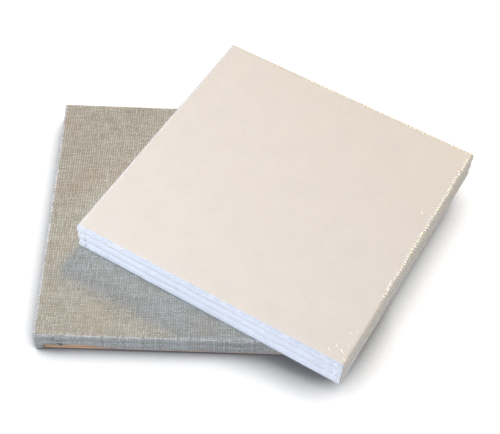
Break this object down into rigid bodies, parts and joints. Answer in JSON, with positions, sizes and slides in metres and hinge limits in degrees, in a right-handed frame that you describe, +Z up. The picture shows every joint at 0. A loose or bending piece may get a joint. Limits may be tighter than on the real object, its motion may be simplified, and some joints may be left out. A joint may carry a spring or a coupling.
{
  "type": "stretched canvas set",
  "caption": "Stack of thin square stretched canvases: natural linen ones on keyed wooden stretcher frames, with a film-wrapped pack of primed cotton ones lying turned on top",
  "frame": {"origin": "middle of the whole stack's outline, on the surface that it lies on", "axes": "+Z up; +X along the linen canvases' front edge, to the side that the turned pack overhangs; +Y from their front edge to their back edge"},
  "size_m": [0.446, 0.411, 0.0637],
  "materials": {
    "bar_wood": "planed softwood, unvarnished",
    "key_wood": "sawn beech wedge, unvarnished",
    "natural_linen": "unbleached plain-weave linen with slubs, clear sized",
    "primed_cotton": "fine plain-weave cotton under matt white primer",
    "clear_film": "clear shrunk film, glossy, with small wrinkles at its edges",
    "fastener_steel": "galvanized flat wire"
  },
  "bodies": {
    "lower_linen": {"lower_linen_bar_back": "bar_wood", "lower_linen_bar_front": "bar_wood", "lower_linen_bar_left": "bar_wood", "lower_linen_bar_right": "bar_wood", "lower_linen_cloth": "natural_linen", "lower_linen_staples": "fastener_steel"},
    "upper_linen": {"upper_linen_bar_back": "bar_wood", "upper_linen_bar_front": "bar_wood", "upper_linen_bar_left": "bar_wood", "upper_linen_bar_right": "bar_wood", "upper_linen_cloth": "natural_linen", "upper_linen_staples": "fastener_steel"},
    "cotton_pack": {"bottom_cotton_bar_back": "bar_wood", "bottom_cotton_bar_front": "bar_wood", "bottom_cotton_bar_left": "bar_wood", "bottom_cotton_bar_right": "bar_wood", "bottom_cotton_cloth": "primed_cotton", "bottom_cotton_corner_nails": "fastener_steel", "bottom_cotton_staples": "fastener_steel", "middle_cotton_bar_back": "bar_wood", "middle_cotton_bar_front": "bar_wood", "middle_cotton_bar_left": "bar_wood", "middle_cotton_bar_right": "bar_wood", "middle_cotton_cloth": "primed_cotton", "middle_cotton_corner_nails": "fastener_steel", "middle_cotton_staples": "fastener_steel", "shrink_film": "clear_film", "top_cotton_bar_back": "bar_wood", "top_cotton_bar_front": "bar_wood", "top_cotton_bar_left": "bar_wood", "top_cotton_bar_right": "bar_wood", "top_cotton_cloth": "primed_cotton", "top_cotton_corner_nails": "fastener_steel", "top_cotton_staples": "fastener_steel"},
    "lower_linen_key_back_1": {"lower_linen_key_back_1": "key_wood"},
    "lower_linen_key_back_2": {"lower_linen_key_back_2": "key_wood"},
    "lower_linen_key_front_1": {"lower_linen_key_front_1": "key_wood"},
    "lower_linen_key_front_2": {"lower_linen_key_front_2": "key_wood"},
    "lower_linen_key_left_1": {"lower_linen_key_left_1": "key_wood"},
    "lower_linen_key_left_2": {"lower_linen_key_left_2": "key_wood"},
    "lower_linen_key_right_1": {"lower_linen_key_right_1": "key_wood"},
    "lower_linen_key_right_2": {"lower_linen_key_right_2": "key_wood"},
    "upper_linen_key_back_1": {"upper_linen_key_back_1": "key_wood"},
    "upper_linen_key_back_2": {"upper_linen_key_back_2": "key_wood"},
    "upper_linen_key_front_1": {"upper_linen_key_front_1": "key_wood"},
    "upper_linen_key_front_2": {"upper_linen_key_front_2": "key_wood"},
    "upper_linen_key_left_1": {"upper_linen_key_left_1": "key_wood"},
    "upper_linen_key_left_2": {"upper_linen_key_left_2": "key_wood"},
    "upper_linen_key_right_1": {"upper_linen_key_right_1": "key_wood"},
    "upper_linen_key_right_2": {"upper_linen_key_right_2": "key_wood"}
  },
  "joints": [
    {"name": "upper_linen_lift", "type": "slide", "parent": "lower_linen", "child": "upper_linen", "axis": [0, 0, 1], "range_m": [0, 0.06]},
    {"name": "cotton_pack_lift", "type": "slide", "parent": "upper_linen", "child": "cotton_pack", "axis": [0, 0, 1], "range_m": [0, 0.06]},
    {"name": "lower_linen_key_back_1_slide", "type": "slide", "parent": "lower_linen", "child": "lower_linen_key_back_1", "axis": [0, -1, 0], "range_m": [0, 0.018]},
    {"name": "lower_linen_key_back_2_slide", "type": "slide", "parent": "lower_linen", "child": "lower_linen_key_back_2", "axis": [0, -1, 0], "range_m": [0, 0.018]},
    {"name": "lower_linen_key_front_1_slide", "type": "slide", "parent": "lower_linen", "child": "lower_linen_key_front_1", "axis": [0, 1, 0], "range_m": [0, 0.018]},
    {"name": "lower_linen_key_front_2_slide", "type": "slide", "parent": "lower_linen", "child": "lower_linen_key_front_2", "axis": [0, 1, 0], "range_m": [0, 0.018]},
    {"name": "lower_linen_key_left_1_slide", "type": "slide", "parent": "lower_linen", "child": "lower_linen_key_left_1", "axis": [1, 0, 0], "range_m": [0, 0.018]},
    {"name": "lower_linen_key_left_2_slide", "type": "slide", "parent": "lower_linen", "child": "lower_linen_key_left_2", "axis": [1, 0, 0], "range_m": [0, 0.018]},
    {"name": "lower_linen_key_right_1_slide", "type": "slide", "parent": "lower_linen", "child": "lower_linen_key_right_1", "axis": [-1, 0, 0], "range_m": [0, 0.018]},
    {"name": "lower_linen_key_right_2_slide", "type": "slide", "parent": "lower_linen", "child": "lower_linen_key_right_2", "axis": [-1, 0, 0], "range_m": [0, 0.018]},
    {"name": "upper_linen_key_back_1_slide", "type": "slide", "parent": "upper_linen", "child": "upper_linen_key_back_1", "axis": [0, -1, 0], "range_m": [0, 0.018]},
    {"name": "upper_linen_key_back_2_slide", "type": "slide", "parent": "upper_linen", "child": "upper_linen_key_back_2", "axis": [0, -1, 0], "range_m": [0, 0.018]},
    {"name": "upper_linen_key_front_1_slide", "type": "slide", "parent": "upper_linen", "child": "upper_linen_key_front_1", "axis": [0, 1, 0], "range_m": [0, 0.018]},
    {"name": "upper_linen_key_front_2_slide", "type": "slide", "parent": "upper_linen", "child": "upper_linen_key_front_2", "axis": [0, 1, 0], "range_m": [0, 0.018]},
    {"name": "upper_linen_key_left_1_slide", "type": "slide", "parent": "upper_linen", "child": "upper_linen_key_left_1", "axis": [1, 0, 0], "range_m": [0, 0.018]},
    {"name": "upper_linen_key_left_2_slide", "type": "slide", "parent": "upper_linen", "child": "upper_linen_key_left_2", "axis": [1, 0, 0], "range_m": [0, 0.018]},
    {"name": "upper_linen_key_right_1_slide", "type": "slide", "parent": "upper_linen", "child": "upper_linen_key_right_1", "axis": [-1, 0, 0], "range_m": [0, 0.018]},
    {"name": "upper_linen_key_right_2_slide", "type": "slide", "parent": "upper_linen", "child": "upper_linen_key_right_2", "axis": [-1, 0, 0], "range_m": [0, 0.018]}
  ]
}
